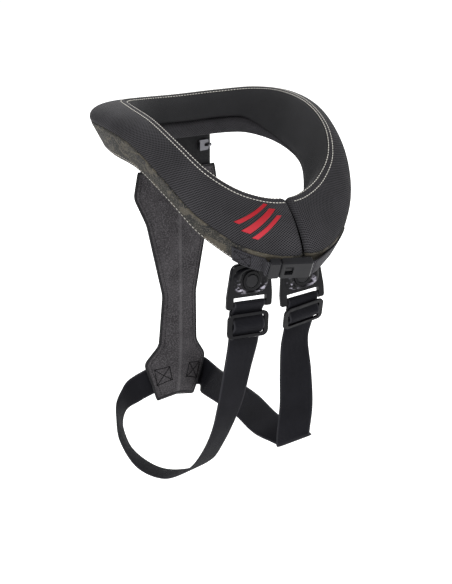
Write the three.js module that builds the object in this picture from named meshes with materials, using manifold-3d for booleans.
// A motocross neck brace: a split foam collar, a panel that hangs down the back, and two chest straps.
// Millimetres, +Z up. The wearer faces -Y and the wearer's right is -X.
// The origin is the middle of the neck opening, where the collar sits round the neck.
import * as THREE from "three";
import Module from "manifold-3d";

const wasm = await Module();
wasm.setup();

// Fits
const FIT = 0.3;
const SEAT_SLACK = 0.6;
const MERGE_GRID = 10000;

// Collar
const RIM_HALF_WIDTH = 98;
const RIM_REACH = 140;
const RIM_HEIGHT = 48;
const PAD_WIDTH = 40;
const PAD_DROP = 50;
const PAD_CROWN = 6;
const BOTTOM_SAG = 3;
const BAND_HEIGHT = 22;
const BAND_TUCK = 6;
const BAND_WALL = 1.5;
const WALL_SLOPE = 30;
const WALL_DEPTH = 58;
const LIP_WIDTH = 12;
const LIP_RISE = 3;
const LINING_WALL = 1.5;
const LINING_START = 0.08;
const BEAD_SHARE = 0.3;
const GROOVE_DEPTH = 5;
const SPLIT_GAP = 1.6;
const END_ROUND = 6;
const END_STEPS = 4;
const SIDE_STEPS = 22;

// The collar's rim, turned from the front about the neck: side of RIM_HALF_WIDTH, back of RIM_REACH
// and up of RIM_HEIGHT.
const RIM = [
  { turn: 0, side: 0.0, back: -0.79, up: -0.99 },
  { turn: 20, side: 0.25, back: -0.757, up: -0.94 },
  { turn: 40, side: 0.527, back: -0.67, up: -0.73 },
  { turn: 60, side: 0.778, back: -0.527, up: -0.34 },
  { turn: 80, side: 0.935, back: -0.297, up: 0.14 },
  { turn: 100, side: 0.997, back: 0.038, up: 0.5 },
  { turn: 120, side: 0.987, back: 0.423, up: 0.62 },
  { turn: 140, side: 0.857, back: 0.747, up: 0.57 },
  { turn: 160, side: 0.52, back: 0.939, up: 0.47 },
  { turn: 180, side: 0.0, back: 1.0, up: 0.42 },
];

// The outside at the same turns: out of PAD_WIDTH and drop of PAD_DROP lead from the rim to the outer seam.
// crown of PAD_CROWN swells the top, most at swell of its way; tuck of BAND_TUCK and tall of BAND_HEIGHT
// lead from the seam to the band's hem.
const OUTSIDE = [
  { out: 0.99, drop: 1.02, crown: 1.0, swell: 0.5, tuck: 2.1, tall: 1.02 },
  { out: 0.93, drop: 1.01, crown: 1.0, swell: 0.5, tuck: 2.1, tall: 1.02 },
  { out: 0.77, drop: 0.98, crown: 1.0, swell: 0.5, tuck: 2.0, tall: 1.02 },
  { out: 0.63, drop: 0.85, crown: 1.0, swell: 0.5, tuck: 1.5, tall: 1.05 },
  { out: 0.6, drop: 0.64, crown: 0.8, swell: 0.5, tuck: 1.2, tall: 1.1 },
  { out: 0.7, drop: 0.47, crown: 0.8, swell: 0.6, tuck: 1.5, tall: 1.28 },
  { out: 0.85, drop: 0.42, crown: 1.1, swell: 0.8, tuck: 2.0, tall: 1.45 },
  { out: 0.97, drop: 0.45, crown: 1.6, swell: 0.95, tuck: 2.7, tall: 1.3 },
  { out: 1.0, drop: 0.5, crown: 1.7, swell: 1.0, tuck: 3.0, tall: 1.2 },
  { out: 1.0, drop: 0.52, crown: 1.7, swell: 1.0, tuck: 3.0, tall: 1.2 },
];

// The inside at the same turns: lip of LIP_WIDTH, then slope of WALL_SLOPE and depth of WALL_DEPTH down
// to the wall's foot; bead is how far the mesh bead at the foot stands out under the lining.
const INSIDE = [
  { lip: 1.1, slope: 0.8, depth: 1.0, bead: 0.06 },
  { lip: 1.1, slope: 0.8, depth: 1.0, bead: 0.06 },
  { lip: 1.0, slope: 0.8, depth: 0.88, bead: 0.06 },
  { lip: 0.6, slope: 0.92, depth: 0.74, bead: 0.06 },
  { lip: 0.4, slope: 0.9, depth: 0.78, bead: 0.06 },
  { lip: 0.4, slope: 0.78, depth: 0.91, bead: 0.1 },
  { lip: 0.4, slope: 0.74, depth: 0.93, bead: 0.4 },
  { lip: 0.4, slope: 0.87, depth: 0.86, bead: 0.9 },
  { lip: 0.4, slope: 1.07, depth: 0.78, bead: 1.0 },
  { lip: 0.4, slope: 1.18, depth: 0.75, bead: 1.0 },
];
const COLLAR = RIM.map((row, k) => ({ ...row, ...OUTSIDE[k], ...INSIDE[k] }));
const TURN_STEP = RIM[1].turn;

// Back panel and the tab that carries it; PANEL_BACK is how far behind the rim's reach the panel hangs
const PANEL_BACK = -3;
const PANEL_TOP = -69;
const PANEL_LENGTH = 305;
const PANEL_HALF_WIDTH = 57;
const PANEL_CURL = 19;
const PANEL_WALL = 3;
const PANEL_NOTCH = 9;
const PANEL_ACROSS = 8;
const PANEL_SPLITS = 2;
const TAB_HALF_WIDTH = 47;
const TAB_WALL = 2;
const TAB_TUCK = 12;
const TAB_REACH = 48;

// The panel's sections from its top: down is a share of PANEL_LENGTH, half of PANEL_HALF_WIDTH;
// swing and curl, shares of PANEL_CURL, are how far its middle and then its edges lean back.
const PANEL = [
  { down: 0.0, half: 0.9, swing: 0.0, curl: 0.27 },
  { down: 0.103, half: 1.0, swing: 0.0, curl: 0.32 },
  { down: 0.217, half: 0.73, swing: 0.0, curl: 0.22 },
  { down: 0.521, half: 0.39, swing: 0.0, curl: 0.1 },
  { down: 0.744, half: 0.45, swing: 0.1, curl: 0.32 },
  { down: 0.826, half: 0.75, swing: 0.15, curl: 0.74 },
  { down: 0.923, half: 0.58, swing: 0.3, curl: 0.48 },
  { down: 1.0, half: 0.44, swing: 0.5, curl: 0.4 },
];

// Steel anchor plate on the tab
const PLATE_WIDTH = 15;
const PLATE_HEIGHT = 13;
const PLATE_WALL = 1.2;
const PLATE_EYE = 2;
const PLATE_LIP = 3.5;
const PLATE_KNOB = 2.2;
const PLATE_SIDE = 36;
const PLATE_DROP = 45;
const EYE_SHIFT = 3;

// Front straps and side-release buckle
const WEBBING_WIDTH = 20;
const WEBBING_WALL = 1.8;
const WEBBING_RUN = 0.6;
const WEBBING_LEAD = 2;
const WEBBING_END_PLAY = 1;
const FRONT_START = 42;
const FRONT_LEAVE = 24;
const FRONT_STEPS = 10;
const BUCKLE_TURN = -9;
const BUCKLE_LENGTH = 46;
const BUCKLE_HEIGHT = 24;
const BUCKLE_CORNER = 2.5;
const BUCKLE_RUN = 0.45;
const BUCKLE_WALL = 9;
const BUCKLE_SHELL = 2;
const BUCKLE_EDGE = 1.5;
const MALE_LENGTH = 12;
const PRONG_LENGTH = 20;
const PRONG_WIDTH = 4;
const SLOT_DEPTH = 6;
const WINDOW_LENGTH = 9;
const WINDOW_HEIGHT = 11;

// Chest clips, studs and hangers
const CLIP_SIDE = 34;
const CLIP_FORWARD = 93;
const CLIP_DROP = 140;
const CLIP_SWAY = 4;
const CLIP_HALF_WIDTH = 28;
const CLIP_TOP = 19;
const CLIP_BOTTOM = 31;
const CLIP_WALL = 5;
const CLIP_EDGE = 1;
const CLIP_CORNER = 3;
const CLIP_SLOT_TOP = 18;
const CLIP_BAR_DROP = 26.5;
const CLIP_BAR_RADIUS = 1.3;
const BOSS_RADIUS = 10.5;
const BOSS_HEIGHT = 2;
const STUD_RADIUS = 7.6;
const STUD_HEAD = 2.4;
const SHANK_RADIUS = 3;
const FLANGE_RADIUS = 6;
const FLANGE_WALL = 1.5;
const HANGER_WIDTH = 25;
const HANGER_WALL = 2;
const HANGER_TAIL = 12;
const HANGER_REACH = 62;

// Chest straps and sliders
const STRAP_WIDTH = 38;
const STRAP_WALL = 1.8;
const STRAP_PLAY = 1.2;
const STRAP_REAR = 8;
const STRAP_OUT = 60;
const STRAP_REACH = 100;
const STRAP_SAG = 150;
const STRAP_SPLITS = 3;
const SLIDER_WIDTH = 51;
const SLIDER_HEIGHT = 29;
const SLIDER_WALL = 3;
const SLIDER_BAR = 4;
const SLIDER_CORNER = 7;
const SLIDER_DROP = 51;
const SEWN_IN = 13;
const SEWN_OUT = 30;
const SEWN_DOWN = 268;
const SEWN_FALL = 7;
const SEWN_LEAN = 0.22;
const SEWN_RISE = 1.5;

// Where a strap's course starts: to the side of the middle, behind the panel and below the sewn rows
const LEAVE_SIDE = 38;
const LEAVE_BACK = 18;
const LEAVE_DOWN = 11;

// The two chest straps: side of CLIP_SIDE and sway of CLIP_SWAY place the clip, and splay turns it in degrees;
// drop of SLIDER_DROP sets the slider, and turn and lean, in degrees, are how it hangs;
// rear of STRAP_REAR is how far behind the slider the webbing passes.
const CHEST = [
  { name: "right", hand: -1, side: 1.0, sway: 0.85, splay: 2.5, drop: 1.0, turn: 2.5, lean: 0, rear: 1.0 },
  { name: "left", hand: 1, side: 0.88, sway: -0.4, splay: 5.0, drop: 0.9, turn: 8, lean: 20, rear: 0.8 },
];

// Each strap's course from the panel to the slider. run is the way gone between the two;
// out of STRAP_OUT, back of STRAP_REACH and sag of STRAP_SAG bow it off the straight line;
// side, deep and rise point across the webbing, in shares of STRAP_WIDTH.
const COURSE = {
  right: [
    { run: 0.04, out: 0.29, back: 0.14, sag: 0.09, side: 0.42, deep: 0.11, rise: -0.9 },
    { run: 0.09, out: 0.55, back: 0.22, sag: 0.19, side: 0.36, deep: 0.36, rise: -0.86 },
    { run: 0.13, out: 0.75, back: 0.2, sag: 0.29, side: 0.37, deep: 0.35, rise: -0.86 },
    { run: 0.18, out: 0.87, back: 0.14, sag: 0.41, side: 0.46, deep: 0.35, rise: -0.82 },
    { run: 0.25, out: 0.93, back: 0.07, sag: 0.57, side: 0.66, deep: 0.3, rise: -0.69 },
    { run: 0.36, out: 0.83, back: -0.14, sag: 0.75, side: 0.92, deep: 0.22, rise: -0.33 },
    { run: 0.47, out: 0.6, back: -0.33, sag: 0.8, side: 0.96, deep: 0.28, rise: -0.01 },
    { run: 0.59, out: 0.4, back: -0.44, sag: 0.73, side: 0.96, deep: 0.29, rise: -0.01 },
    { run: 0.66, out: 0.3, back: -0.45, sag: 0.62, side: 0.93, deep: 0.34, rise: 0.0 },
    { run: 0.74, out: 0.2, back: -0.39, sag: 0.49, side: 0.95, deep: 0.32, rise: 0.02 },
    { run: 0.81, out: 0.13, back: -0.31, sag: 0.35, side: 0.98, deep: 0.2, rise: 0.0 },
    { run: 0.91, out: 0.08, back: -0.16, sag: 0.18, side: 0.99, deep: 0.12, rise: 0.0 },
  ],
  left: [
    { run: 0.0, out: 0.07, back: 0.04, sag: 0.0, side: 0.2, deep: 0.02, rise: 0.97 },
    { run: 0.03, out: 0.11, back: -0.04, sag: 0.045, side: 0.48, deep: 0.1, rise: 0.87 },
    { run: 0.15, out: -0.24, back: -0.2, sag: 0.07, side: 0.78, deep: -0.01, rise: 0.63 },
    { run: 0.28, out: -0.32, back: -0.36, sag: 0.16, side: 0.84, deep: -0.01, rise: 0.54 },
    { run: 0.4, out: -0.29, back: -0.54, sag: 0.28, side: 0.89, deep: -0.01, rise: 0.45 },
    { run: 0.52, out: -0.24, back: -0.73, sag: 0.455, side: 0.92, deep: -0.01, rise: 0.39 },
    { run: 0.59, out: 0.0, back: -0.79, sag: 0.565, side: 0.89, deep: -0.07, rise: 0.45 },
    { run: 0.63, out: 0.02, back: -0.81, sag: 0.62, side: 0.87, deep: -0.48, rise: 0.42 },
    { run: 0.65, out: -0.07, back: -0.81, sag: 0.61, side: 0.87, deep: -0.48, rise: 0.42 },
    { run: 0.67, out: -0.13, back: -0.75, sag: 0.58, side: 0.87, deep: -0.49, rise: 0.19 },
    { run: 0.76, out: -0.02, back: -0.56, sag: 0.43, side: 0.9, deep: -0.43, rise: 0.0 },
    { run: 0.86, out: -0.05, back: -0.33, sag: 0.25, side: 0.97, deep: -0.2, rise: 0.0 },
    { run: 0.95, out: -0.08, back: -0.12, sag: 0.08, side: 0.99, deep: 0.1, rise: 0.0 },
  ],
};

// Finishes
const finish = (color, roughness, metalness = 0) => new THREE.MeshStandardMaterial({ color, roughness, metalness });
const MESH_CLOTH = finish(0x1c1c1e, 0.8);
const LINING_CLOTH = finish(0x201f20, 0.85);
const BAND_CLOTH = finish(0x4a4436, 0.8);
const TAB_CLOTH = finish(0x161617, 0.9);
const SUEDE = finish(0x4b484b, 0.95);
const STEEL = finish(0x8a8a90, 0.35, 1);
const WEBBING = finish(0x19191b, 0.85);
const MATTE_PLASTIC = finish(0x1d1d1e, 0.5);
const GLOSS_PLASTIC = finish(0x111114, 0.15);

const group = new THREE.Group();
const vec = (x, y, z) => new THREE.Vector3(x, y, z);
const lerp = THREE.MathUtils.lerp;
const radians = THREE.MathUtils.degToRad;

function add(name, geometry, material, parent = group) {
  const mesh = new THREE.Mesh(geometry, material);
  mesh.name = name;
  parent.add(mesh);
  return mesh;
}

// A group placed at a point, turned about +Y and then leant about its own X.
function frame(place, turn = 0, lean = 0) {
  const held = new THREE.Group();
  held.position.copy(place);
  held.rotation.set(radians(lean), radians(turn), 0, "YXZ");
  held.updateMatrix();
  group.add(held);
  return held;
}

// A closed body through rows of points, each row a closed section with the same number of points.
function loft(rows) {
  const count = rows[0].length;
  const points = rows.flat();
  const faces = [];
  for (let r = 0; r + 1 < rows.length; r++) {
    for (let k = 0; k < count; k++) {
      const a = r * count + k;
      const b = r * count + ((k + 1) % count);
      faces.push([a, b, b + count], [a, b + count, a + count]);
    }
  }
  const last = (rows.length - 1) * count;
  for (const [a, b, c] of sectionFaces(rows[0])) faces.push([a, c, b]);
  for (const [a, b, c] of sectionFaces(rows[rows.length - 1])) faces.push([last + a, last + b, last + c]);
  return facing(points, faces);
}

// The triangles of one flat section, in the order of its points.
function sectionFaces(row) {
  const normal = vec(0, 0, 0);
  row.forEach((p, k) => normal.add(new THREE.Vector3().crossVectors(p, row[(k + 1) % row.length])));
  normal.normalize();
  const u = new THREE.Vector3().subVectors(row[1], row[0]).projectOnPlane(normal).normalize();
  const v = new THREE.Vector3().crossVectors(normal, u);
  const flat = row.map((p) => new THREE.Vector2(p.dot(u), p.dot(v)));
  return THREE.ShapeUtils.triangulateShape(flat, []);
}

// A geometry of points and faces whose faces point out: a body turned inside out is turned back.
function facing(points, faces) {
  let volume = 0;
  for (const [a, b, c] of faces) {
    volume += points[a].dot(new THREE.Vector3().crossVectors(points[b], points[c]));
  }
  const index = volume > 0 ? faces.flat() : faces.flatMap(([a, b, c]) => [a, c, b]);
  const geometry = new THREE.BufferGeometry().setFromPoints(points);
  geometry.setIndex(index);
  return geometry;
}

// Booleans: a geometry's merged points make a solid, and a solid's mesh makes a geometry again.
function solid(geometry, matrix = new THREE.Matrix4()) {
  const keys = new Map();
  const places = [];
  const position = geometry.getAttribute("position");
  const merged = [];
  for (let k = 0; k < position.count; k++) {
    const p = new THREE.Vector3().fromBufferAttribute(position, k).applyMatrix4(matrix);
    const key = p.toArray().map((v) => Math.round(v * MERGE_GRID)).join();
    if (!keys.has(key)) {
      keys.set(key, places.length / 3);
      places.push(p.x, p.y, p.z);
    }
    merged.push(keys.get(key));
  }
  const order = geometry.index ? Array.from(geometry.index.array) : merged.map((_, k) => k);
  const corners = [];
  for (let k = 0; k < order.length; k += 3) {
    const [a, b, c] = [merged[order[k]], merged[order[k + 1]], merged[order[k + 2]]];
    if (a !== b && b !== c && c !== a) corners.push(a, b, c);
  }
  const mesh = { numProp: 3, vertProperties: new Float32Array(places), triVerts: new Uint32Array(corners) };
  return new wasm.Manifold(new wasm.Mesh(mesh));
}

function shape(body) {
  const mesh = body.getMesh();
  const geometry = new THREE.BufferGeometry();
  geometry.setAttribute("position", new THREE.BufferAttribute(new Float32Array(mesh.vertProperties), 3));
  geometry.setIndex(Array.from(mesh.triVerts));
  return geometry;
}

const shift = (x, y, z) => new THREE.Matrix4().makeTranslation(x, y, z);
const box = (x, y, z, place = shift(0, 0, 0)) => solid(new THREE.BoxGeometry(x, y, z), place);

// An outline in X and Z, as thick as its wall along Y, with bevelled edges, centred on Y = 0.
function plate(outline, wall, edge) {
  const options = { depth: wall - 2 * edge, bevelEnabled: edge > 0, bevelThickness: edge, bevelSize: edge, bevelOffset: -edge };
  const geometry = new THREE.ExtrudeGeometry(outline, { ...options, bevelSegments: 1, curveSegments: 5 });
  geometry.translate(0, 0, edge - wall / 2);
  geometry.rotateX(Math.PI / 2);
  return geometry;
}

function roundedRectangle(width, height, corner) {
  const outline = new THREE.Shape();
  const [x, y] = [width / 2, height / 2];
  outline.absarc(x - corner, y - corner, corner, 0, Math.PI / 2);
  outline.absarc(corner - x, y - corner, corner, Math.PI / 2, Math.PI);
  outline.absarc(corner - x, corner - y, corner, Math.PI, 1.5 * Math.PI);
  outline.absarc(x - corner, corner - y, corner, 1.5 * Math.PI, 2 * Math.PI);
  return outline;
}

// A cylinder along X, Y or Z.
function rod(axis, radius, length, place, sides = 24) {
  const geometry = new THREE.CylinderGeometry(radius, radius, length, sides);
  if (axis === "x") geometry.rotateZ(Math.PI / 2);
  if (axis === "z") geometry.rotateX(Math.PI / 2);
  return solid(geometry, place);
}

// The collar's sizes at a turn from the front, on a smooth curve through the table's rows.
// Past the front and the back the rows repeat mirrored, and there the side changes sign.
function collarAt(turn) {
  const place = turn / TURN_STEP;
  const first = Math.min(Math.floor(place), COLLAR.length - 2);
  const t = place - first;
  const last = COLLAR.length - 1;
  const value = (key, k) => {
    const mirrored = k < 0 || k > last;
    const row = COLLAR[k < 0 ? -k : k > last ? 2 * last - k : k];
    return mirrored && key === "side" ? -row[key] : row[key];
  };
  const sizes = {};
  for (const key of Object.keys(COLLAR[0])) {
    const [a, b, c, d] = [-1, 0, 1, 2].map((k) => value(key, first + k));
    sizes[key] = b + 0.5 * t * (c - a + t * (2 * a - 5 * b + 4 * c - d + t * (3 * (b - c) + d - a)));
  }
  return sizes;
}

// The rim's point at a turn, and the level direction that points outwards from it.
function rimAt(turn) {
  const place = (sizes) => vec(sizes.side * RIM_HALF_WIDTH, sizes.back * RIM_REACH, sizes.up * RIM_HEIGHT);
  const nudge = 0.5;
  const before = place(collarAt(Math.max(turn - nudge, 0)));
  const after = place(collarAt(Math.min(turn + nudge, 180)));
  const outward = vec(after.y - before.y, before.x - after.x, 0).normalize();
  return { point: place(collarAt(turn)), outward };
}

// A section's three visible curves, as (out, up) from the rim, each run from 0 to 1:
// the mesh top from the rim to the outer seam, the band under it, and the inner wall down to its foot.
function curvesAt(turn) {
  const c = collarAt(turn);
  const seam = new THREE.Vector2(c.out * PAD_WIDTH, -c.drop * PAD_DROP);
  const hem = new THREE.Vector2(seam.x - c.tuck * BAND_TUCK, seam.y - c.tall * BAND_HEIGHT);
  const foot = new THREE.Vector2(-c.slope * WALL_SLOPE, -c.depth * WALL_DEPTH);
  const rim = new THREE.Vector2(0, 0);
  const square = new THREE.Vector2(-seam.y, seam.x).normalize();
  const crown = seam.clone().multiplyScalar(c.swell).addScaledVector(square, 2 * c.crown * PAD_CROWN);
  const lip = new THREE.Vector2(-c.lip * LIP_WIDTH, LIP_RISE * c.lip);
  const wall = new THREE.Vector2(foot.x, foot.y + 0.4 * c.depth * WALL_DEPTH);
  return {
    top: new THREE.QuadraticBezierCurve(rim, crown, seam),
    band: new THREE.LineCurve(seam, hem),
    wall: new THREE.CubicBezierCurve(rim, lip, wall, foot),
    hem,
    foot,
    liningEnd: 1 - BEAD_SHARE * c.bead,
    beadTop: 1 - 0.7 * BEAD_SHARE * c.bead,
    groove: GROOVE_DEPTH * c.bead,
  };
}

// A point of a section's curve, moved into the pad by a depth. The pad lies on the side named by inward.
function inset(curve, run, depth, inward) {
  const point = curve.getPoint(run);
  const along = curve.getTangent(run);
  return point.addScaledVector(new THREE.Vector2(-along.y, along.x), inward * depth);
}

const runs = (from, to, steps) => Array.from({ length: steps + 1 }, (_, k) => lerp(from, to, k / steps));
const TOP_STEPS = 6;
const BAND_STEPS = 2;
const WALL_STEPS = 6;
const BAND_BED = BAND_WALL + SEAT_SLACK;
const LINING_BED = LINING_WALL + FIT;

// The pad's own outline: round the top, into the band's bed, under the bottom, up the bead, the groove and the lining's bed.
function padOutline(turn) {
  const s = curvesAt(turn);
  const bed = runs(0, 1, BAND_STEPS).map((run) => inset(s.band, run, BAND_BED, -1));
  const corner = bed[bed.length - 1];
  const sag = corner.clone().add(s.foot).multiplyScalar(0.5).add(new THREE.Vector2(0, -2 * BOTTOM_SAG));
  const bottom = new THREE.QuadraticBezierCurve(corner, sag, s.foot);
  const grooveRun = (s.beadTop + s.liningEnd) / 2;
  return [
    ...runs(0, 1, TOP_STEPS).map((run) => s.top.getPoint(run)),
    ...bed,
    ...runs(0, 1, 4).slice(1).map((run) => bottom.getPoint(run)),
    inset(s.wall, (1 + s.beadTop) / 2, 0, 1),
    inset(s.wall, s.beadTop, 0, 1),
    inset(s.wall, grooveRun, Math.max(LINING_BED, s.groove), 1),
    ...runs(s.liningEnd, LINING_START, WALL_STEPS).map((run) => inset(s.wall, run, LINING_BED, 1)),
    inset(s.wall, LINING_START, 0, 1),
  ];
}

// A thin wall that fills a bed in the pad: its face lies flush with the section's curve.
function skinOutline(curve, from, to, steps, wall, inward) {
  const face = runs(from, to, steps).map((run) => inset(curve, run, 0, inward));
  const back = runs(to, from, steps).map((run) => inset(curve, run, wall, inward));
  return [...face, ...back];
}

function bandOutline(turn) {
  const { band } = curvesAt(turn);
  return skinOutline(band, FIT / band.getLength(), 1, BAND_STEPS, BAND_WALL, -1);
}

function liningOutline(turn) {
  const { wall, liningEnd } = curvesAt(turn);
  const gap = FIT / wall.getLength();
  return skinOutline(wall, LINING_START + gap, liningEnd - gap, WALL_STEPS, LINING_WALL, 1);
}

// The turns at which sections stand, on one side from the split to the back, and how far each is drawn in
// so that the ends at the split are round.
function stations() {
  const perDegree = rimAt(TURN_STEP).point.distanceTo(rimAt(0).point) / TURN_STEP;
  const start = SPLIT_GAP / 2 / perDegree;
  const ends = runs(0, Math.PI / 2, END_STEPS).map((angle) => ({
    turn: start + (END_ROUND * (1 - Math.cos(angle))) / perDegree,
    draw: END_ROUND * (1 - Math.sin(angle)),
  }));
  const from = ends[END_STEPS].turn;
  return [...ends, ...runs(from, 180, SIDE_STEPS).slice(1).map((turn) => ({ turn, draw: 0 }))];
}

// A section's outline in space, on the left side of the collar, or mirrored to the right.
function sectionAt(outline, { turn, draw }, hand) {
  const { point, outward } = rimAt(turn);
  const { hem, foot } = curvesAt(turn);
  const middle = hem.clone().add(foot).multiplyScalar(1 / 3);
  return outline(turn).map((p) => {
    const q = p.clone().add(middle.clone().sub(p).setLength(draw));
    const place = point.clone().addScaledVector(outward, q.x);
    return vec(hand * place.x, place.y, place.z + q.y);
  });
}

function collarBody(outline) {
  const side = stations();
  const left = side.map((station) => sectionAt(outline, station, 1));
  const right = side.slice(0, -1).map((station) => sectionAt(outline, station, -1));
  return loft([...left, ...right.reverse()]);
}

// A strip of webbing through rows of a centre and a vector across it.
function ribbon(rows, wall, splits) {
  const centres = new THREE.CatmullRomCurve3(rows.map((row) => row.centre), false, "centripetal");
  const spans = new THREE.CatmullRomCurve3(rows.map((row) => row.across), false, "catmullrom", 0.5);
  return loft(runs(0, 1, (rows.length - 1) * splits).map((run) => {
    const centre = centres.getPoint(run);
    const half = spans.getPoint(run).multiplyScalar(0.5);
    const face = new THREE.Vector3().crossVectors(half, centres.getTangent(run)).setLength(wall / 2);
    return [[-1, -1], [1, -1], [1, 1], [-1, 1]].map(([a, b]) =>
      centre.clone().addScaledVector(half, a).addScaledVector(face, b));
  }));
}

// Where a point of the panel's middle surface lies, for a side and a way down from the panel's top.
function panelAt(down) {
  const share = THREE.MathUtils.clamp(down / PANEL_LENGTH, 0, 1);
  const next = Math.max(PANEL.findIndex((row) => row.down >= share), 1);
  const [a, b] = [PANEL[next - 1], PANEL[next]];
  const t = (share - a.down) / (b.down - a.down);
  const value = (key) => lerp(a[key], b[key], t);
  return { half: value("half") * PANEL_HALF_WIDTH, swing: value("swing") * PANEL_CURL, curl: value("curl") * PANEL_CURL };
}

function panelBack(side, down) {
  const { half, swing, curl } = panelAt(down);
  return RIM_REACH + PANEL_BACK + swing + curl * (side / half) ** 2;
}

// The panel, and the tab above it: rows of a front and a back face, bowed as the panel is.
function bowedSheet(downs, halfAt, offset, wall, dropAt) {
  return loft(downs.map((down) => {
    const half = halfAt(down);
    const sides = runs(-half, half, PANEL_ACROSS);
    const face = (depth) => sides.map((side) =>
      vec(side, panelBack(side, down) + offset + depth, PANEL_TOP - down + dropAt(side / half, down)));
    return [...face(-wall / 2), ...face(wall / 2).reverse()];
  }));
}

function panelShape() {
  const downs = PANEL.slice(1).flatMap((row, k) =>
    runs(PANEL[k].down, row.down, PANEL_SPLITS).slice(1).map((share) => share * PANEL_LENGTH));
  const notchAt = (across, down) => {
    const near = THREE.MathUtils.smoothstep(down / PANEL_LENGTH, PANEL[PANEL.length - 3].down, 1);
    return PANEL_NOTCH * near * (1 - across ** 2);
  };
  return bowedSheet([0, ...downs], (down) => panelAt(down).half, 0, PANEL_WALL, notchAt);
}

// Collar
const pad = collarBody(padOutline);
const lining = collarBody(liningOutline);
add("collar_pad", pad, MESH_CLOTH);
add("neck_lining", lining, LINING_CLOTH);
add("side_band", collarBody(bandOutline), BAND_CLOTH);
const aboveHangings = solid(pad, shift(0, 0, -FIT)).add(solid(lining, shift(0, 0, -FIT)));

// Back panel and tab
const panel = panelShape();
add("back_panel", panel, SUEDE);
const sewnBed = solid(panel).add(solid(panel, shift(0, FIT, 0)));
const tabOffset = PANEL_WALL / 2 + FIT + TAB_WALL / 2;
const tab = bowedSheet(runs(-TAB_REACH, TAB_TUCK, 4), () => TAB_HALF_WIDTH, tabOffset, TAB_WALL, () => 0);
add("back_tab", shape(solid(tab).subtract(aboveHangings)), TAB_CLOTH);

// Anchor plate: a bent lip at its inner edge, an eye, and a knob at its outer edge
const plateSlope = 2 * panelAt(0).curl * PLATE_SIDE / panelAt(0).half ** 2;
const plateY = panelBack(PLATE_SIDE, 0) + tabOffset - TAB_WALL / 2 - 2 * FIT - PLATE_WALL / 2;
const plateFrame = frame(vec(PLATE_SIDE, plateY, -PLATE_DROP));
plateFrame.rotation.set(0, 0, Math.atan(plateSlope));
const plateBody = solid(plate(roundedRectangle(PLATE_WIDTH, PLATE_HEIGHT, 3), PLATE_WALL, 0))
  .add(box(PLATE_WALL, PLATE_LIP, PLATE_HEIGHT - 2, shift(PLATE_WALL / 2 - PLATE_WIDTH / 2, -PLATE_LIP / 2, 0)))
  .add(rod("x", PLATE_KNOB, PLATE_KNOB * 2, shift(PLATE_WIDTH / 2, -PLATE_KNOB + PLATE_WALL / 2, 0), 12))
  .subtract(rod("y", PLATE_EYE, 4 * PLATE_WALL, shift(EYE_SHIFT, 0, 0), 16));
add("anchor_plate", shape(plateBody), STEEL, plateFrame);

// A place on the band: at a turn, a way down the band, and a distance out from its face.
function bandPlace(turn, run, distance) {
  const { band } = curvesAt(Math.abs(turn));
  const q = inset(band, run, distance, 1);
  const { point, outward } = rimAt(Math.abs(turn));
  const place = point.addScaledVector(outward, q.x);
  return vec(turn < 0 ? -place.x : place.x, place.y, place.z + q.y);
}

// Buckle: a shell with a hollow for the prongs, and a plug with a bar for the webbing
const buckleFrame = frame(bandPlace(BUCKLE_TURN, BUCKLE_RUN, SEAT_SLACK + BUCKLE_WALL / 2));
const buckleRise = bandPlace(BUCKLE_TURN, 0, 0).sub(bandPlace(BUCKLE_TURN, 1, 0)).normalize();
const buckleAlong = bandPlace(BUCKLE_TURN + 2, 0.5, 0).sub(bandPlace(BUCKLE_TURN - 2, 0.5, 0));
buckleAlong.projectOnPlane(buckleRise).normalize();
const buckleDeep = new THREE.Vector3().crossVectors(buckleRise, buckleAlong);
buckleFrame.setRotationFromMatrix(new THREE.Matrix4().makeBasis(buckleAlong, buckleDeep, buckleRise));
buckleFrame.updateMatrix();
const maleEnd = -BUCKLE_LENGTH / 2;
const femaleEnd = BUCKLE_LENGTH / 2;
const joinAt = maleEnd + MALE_LENGTH;
const hollow = { y: BUCKLE_WALL - 2 * BUCKLE_SHELL, z: BUCKLE_HEIGHT - 2 * BUCKLE_SHELL - 2 };
const slotHeight = WEBBING_WIDTH + 2 * SEAT_SLACK;
const slotWall = WEBBING_WALL + 2 * SEAT_SLACK;
const slotAt = (x) => box(2 * SLOT_DEPTH, slotWall, slotHeight, shift(x, 0, 0));
const femaleLength = femaleEnd - joinAt - FIT;
const female = solid(plate(roundedRectangle(femaleLength, BUCKLE_HEIGHT, BUCKLE_CORNER), BUCKLE_WALL, BUCKLE_EDGE),
  shift(femaleEnd - femaleLength / 2, 0, 0));
const hollowLength = PRONG_LENGTH + 2 * FIT;
const hollowBox = box(2 * hollowLength, hollow.y, hollow.z, shift(joinAt, 0, 0));
const windowBox = box(WINDOW_LENGTH, BUCKLE_WALL, WINDOW_HEIGHT, shift(joinAt + WINDOW_LENGTH, -BUCKLE_WALL / 2, 0));
const buckleShell = female.subtract(hollowBox).subtract(windowBox).subtract(slotAt(femaleEnd));
add("buckle_body", shape(buckleShell), MATTE_PLASTIC, buckleFrame);
let plug = solid(plate(roundedRectangle(MALE_LENGTH, BUCKLE_HEIGHT, BUCKLE_CORNER), BUCKLE_WALL, BUCKLE_EDGE),
  shift(maleEnd + MALE_LENGTH / 2, 0, 0)).subtract(slotAt(maleEnd));
for (const share of [-0.5, 0, 0.5]) {
  const z = share * (hollow.z - PRONG_WIDTH - 2 * FIT);
  const length = PRONG_LENGTH + 2;
  plug = plug.add(box(length, hollow.y - 2 * FIT, PRONG_WIDTH, shift(joinAt - 2 + length / 2, 0, z)));
}
add("buckle_prongs", shape(plug), MATTE_PLASTIC, buckleFrame);

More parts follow.
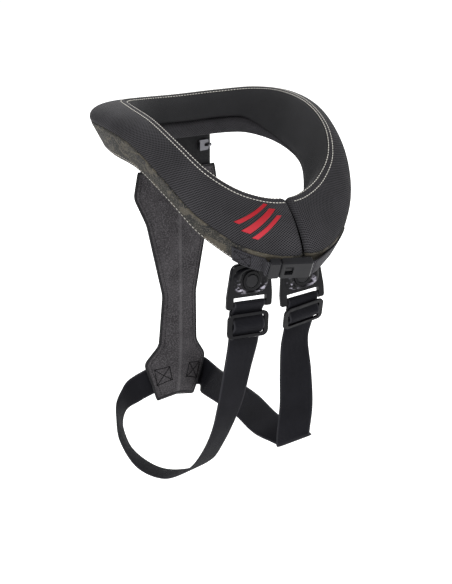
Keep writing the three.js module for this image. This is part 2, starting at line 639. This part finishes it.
// Front straps, from where they are sewn on the band to the buckle's slots
function frontStrap(hand, end) {
  const distance = FIT + WEBBING_WALL / 2;
  const hugging = runs(FRONT_START, FRONT_LEAVE, FRONT_STEPS).map((turn) => {
    const across = bandPlace(hand * turn, 1, distance).sub(bandPlace(hand * turn, 0, distance));
    return { centre: bandPlace(hand * turn, WEBBING_RUN, distance), across: across.setLength(WEBBING_WIDTH) };
  });
  const down = vec(0, 0, -WEBBING_WIDTH).transformDirection(buckleFrame.matrix).setLength(WEBBING_WIDTH);
  const inside = SLOT_DEPTH - WEBBING_END_PLAY;
  const entering = [end + Math.sign(end) * WEBBING_LEAD, end - Math.sign(end) * inside].map((x) => ({
    centre: vec(x, 0, 0).applyMatrix4(buckleFrame.matrix),
    across: down,
  }));
  return ribbon([...hugging, ...entering], WEBBING_WALL, 2);
}
add("front_strap_right", frontStrap(-1, maleEnd), WEBBING);
add("front_strap_left", frontStrap(1, femaleEnd), WEBBING);

// A chest clip: a shield with a slot, a thin bar for the webbing, and a ring round the stud
function clipShape() {
  const outline = new THREE.Shape();
  const half = CLIP_HALF_WIDTH;
  outline.moveTo(-0.55 * half, CLIP_TOP);
  outline.quadraticCurveTo(-0.85 * half, CLIP_TOP, -0.88 * half, 0.5 * CLIP_TOP);
  outline.lineTo(-half, -0.55 * CLIP_BOTTOM);
  outline.lineTo(-half, CLIP_CORNER - CLIP_BOTTOM);
  outline.quadraticCurveTo(-half, -CLIP_BOTTOM, CLIP_CORNER - half, -CLIP_BOTTOM);
  outline.lineTo(half - CLIP_CORNER, -CLIP_BOTTOM);
  outline.quadraticCurveTo(half, -CLIP_BOTTOM, half, CLIP_CORNER - CLIP_BOTTOM);
  outline.lineTo(half, -0.55 * CLIP_BOTTOM);
  outline.lineTo(0.88 * half, 0.5 * CLIP_TOP);
  outline.quadraticCurveTo(0.85 * half, CLIP_TOP, 0.55 * half, CLIP_TOP);
  const slotWidth = STRAP_WIDTH + 2 * STRAP_PLAY;
  const slotBottom = CLIP_BOTTOM + 1;
  const slotTall = slotBottom - CLIP_SLOT_TOP;
  const slot = box(slotWidth, 2 * CLIP_WALL, slotTall, shift(0, 0, -CLIP_SLOT_TOP - slotTall / 2));
  const ringAt = shift(0, -(CLIP_WALL + BOSS_HEIGHT) / 2 + CLIP_EDGE / 2, 0);
  const ring = rod("y", BOSS_RADIUS, BOSS_HEIGHT + CLIP_EDGE, ringAt)
    .subtract(rod("y", STUD_RADIUS + FIT, 3 * BOSS_HEIGHT, shift(0, -CLIP_WALL / 2 - 1.5 * BOSS_HEIGHT, 0)));
  return solid(plate(outline, CLIP_WALL, CLIP_EDGE))
    .subtract(slot)
    .add(rod("x", CLIP_BAR_RADIUS, slotWidth + 2, shift(0, 0, -CLIP_BAR_DROP), 12))
    .add(ring)
    .subtract(rod("y", SHANK_RADIUS + FIT, 4 * CLIP_WALL, shift(0, 0, 0), 16));
}

// A stud: a head in the clip's ring, a shank through clip and hanger, and a flange behind
function studShape() {
  const headBack = -CLIP_WALL / 2 - FIT;
  const flangeFront = CLIP_WALL / 2 + FIT + HANGER_WALL + FIT;
  const profile = [
    [0, headBack - STUD_HEAD], [STUD_RADIUS - 1, headBack - STUD_HEAD], [STUD_RADIUS, headBack - STUD_HEAD + 1],
    [STUD_RADIUS, headBack], [SHANK_RADIUS, headBack], [SHANK_RADIUS, flangeFront],
    [FLANGE_RADIUS, flangeFront], [FLANGE_RADIUS, flangeFront + FLANGE_WALL], [0, flangeFront + FLANGE_WALL],
  ];
  return new THREE.LatheGeometry(profile.map(([x, y]) => new THREE.Vector2(x, y)), 24);
}

// A slider: a rounded frame with a bar across its middle
function sliderShape() {
  const window = roundedRectangle(STRAP_WIDTH + 2 * SEAT_SLACK, SLIDER_HEIGHT - 2 * SLIDER_BAR, 2);
  const centreBar = box(SLIDER_WIDTH - SLIDER_BAR, SLIDER_WALL, SLIDER_BAR);
  return solid(plate(roundedRectangle(SLIDER_WIDTH, SLIDER_HEIGHT, SLIDER_CORNER), SLIDER_WALL, 0.7))
    .subtract(solid(plate(window, 3 * SLIDER_WALL, 0)))
    .add(centreBar);
}

// A row of a strap in the plane of a slider or a clip, at a depth behind it and a height on it.
function rowOn(held, depth, height) {
  const across = vec(STRAP_WIDTH, 0, 0).transformDirection(held.matrix).setLength(STRAP_WIDTH);
  return { centre: vec(0, depth, height).applyMatrix4(held.matrix), across };
}

// A row of a strap sewn on the panel's back.
function sewnRow(hand, side) {
  const down = SEWN_DOWN + SEWN_FALL * (side - SEWN_IN) / (SEWN_OUT - SEWN_IN);
  const lean = new THREE.Vector2(-hand * SEWN_LEAN, -1).setLength(STRAP_WIDTH / 2);
  const offset = PANEL_WALL / 2 + STRAP_WALL / 2 + SEWN_RISE;
  const [top, bottom] = [-1, 1].map((sign) => {
    const x = hand * side + sign * lean.x;
    const z = down - sign * lean.y;
    return vec(x, panelBack(x, z) + offset, PANEL_TOP - z);
  });
  const across = bottom.clone().sub(top).setLength(STRAP_WIDTH).multiplyScalar(-hand);
  return { centre: top.add(bottom).multiplyScalar(0.5), across };
}

// A chest strap: sewn to the panel, up behind the slider, round the clip's bar to the front,
// and down through the slider, over its bar, to its own end.
function strapShape({ name, hand, rear }, clip, slider) {
  const behind = SLIDER_WALL / 2 + STRAP_WALL / 2 + SEAT_SLACK;
  const round = CLIP_BAR_RADIUS + STRAP_WALL / 2 + SEAT_SLACK;
  const edge = SLIDER_HEIGHT / 2;
  const inner = edge - SLIDER_BAR;
  const half = SLIDER_BAR / 2;
  const sewn = [sewnRow(hand, SEWN_IN), sewnRow(hand, SEWN_OUT)];
  const up = [-edge - SLIDER_BAR, 0, edge].map((height) => rowOn(slider, rear * STRAP_REAR, height));
  const start = vec(hand * LEAVE_SIDE, RIM_REACH + PANEL_BACK + LEAVE_BACK, PANEL_TOP - SEWN_DOWN - LEAVE_DOWN);
  const bowed = COURSE[name].map((row) => ({
    centre: start.clone().lerp(up[0].centre, row.run)
      .add(vec(hand * row.out * STRAP_OUT, row.back * STRAP_REACH, -row.sag * STRAP_SAG)),
    across: vec(row.side, row.deep, row.rise).multiplyScalar(STRAP_WIDTH),
  }));
  const turnOver = runs(0, Math.PI, 4).map((angle) =>
    rowOn(clip, round * Math.cos(angle), -CLIP_BAR_DROP + round * Math.sin(angle)));
  return ribbon([
    ...sewn, ...bowed, ...up, ...turnOver,
    rowOn(slider, behind, edge + 1), rowOn(slider, behind, inner), rowOn(slider, -behind, half),
    rowOn(slider, -behind, -half), rowOn(slider, behind, -inner),
  ], STRAP_WALL, STRAP_SPLITS);
}

for (const chest of CHEST) {
  const { name, hand, side, sway, splay, drop, turn, lean } = chest;
  const place = vec(hand * side * CLIP_SIDE, -CLIP_FORWARD, sway * CLIP_SWAY - CLIP_DROP);
  const clip = frame(place, -hand * splay);
  const below = vec(0, 0, -drop * SLIDER_DROP).applyMatrix4(clip.matrix);
  const slider = frame(below, -hand * turn, lean);
  add(`clip_${name}`, shape(clipShape()), GLOSS_PLASTIC, clip);
  add(`stud_${name}`, studShape(), MATTE_PLASTIC, clip);
  add(`slider_${name}`, shape(sliderShape()), MATTE_PLASTIC, slider);
  const hangerY = CLIP_WALL / 2 + FIT + HANGER_WALL / 2;
  const hangerAt = shift(place.x, place.y + hangerY, place.z + HANGER_REACH / 2 - HANGER_TAIL);
  const hole = rod("y", SHANK_RADIUS + FIT, 4 * HANGER_WALL, shift(place.x, place.y + hangerY, place.z), 16);
  const hanger = box(HANGER_WIDTH, HANGER_WALL, HANGER_REACH, hangerAt).subtract(hole).subtract(aboveHangings);
  add(`hanger_${name}`, shape(hanger), WEBBING);
  add(`strap_${name}`, shape(solid(strapShape(chest, clip, slider)).subtract(sewnBed)), WEBBING);
}

export default group;
